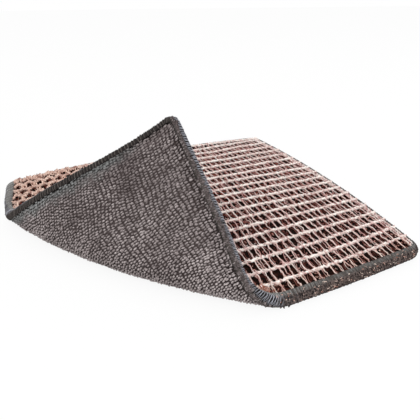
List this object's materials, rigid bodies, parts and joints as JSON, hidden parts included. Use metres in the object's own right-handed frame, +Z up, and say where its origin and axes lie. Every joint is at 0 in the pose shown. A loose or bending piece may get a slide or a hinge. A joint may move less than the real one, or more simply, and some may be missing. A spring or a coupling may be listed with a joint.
{
  "type": "scouring cloth",
  "caption": "Scouring cloth with an openwork copper-thread face, a loop-pile back and a stitched hem, lying flat with one corner rolled back over itself.",
  "frame": {"origin": "on the table, under the middle of the flat cloth", "axes": "+X along the front edge towards its right end, +Y from the front edge to the back edge, +Z up"},
  "size_m": [0.1642, 0.1662, 0.052],
  "materials": {
    "pile": "matt looped microfibre",
    "copper": "pale yarn rows with bright copper thread between",
    "thread": "matt overlock stitching"
  },
  "bodies": {
    "root": {"microfibre_back": "pile", "copper_mesh": "copper", "overlock_hem": "thread"}
  },
  "joints": []
}
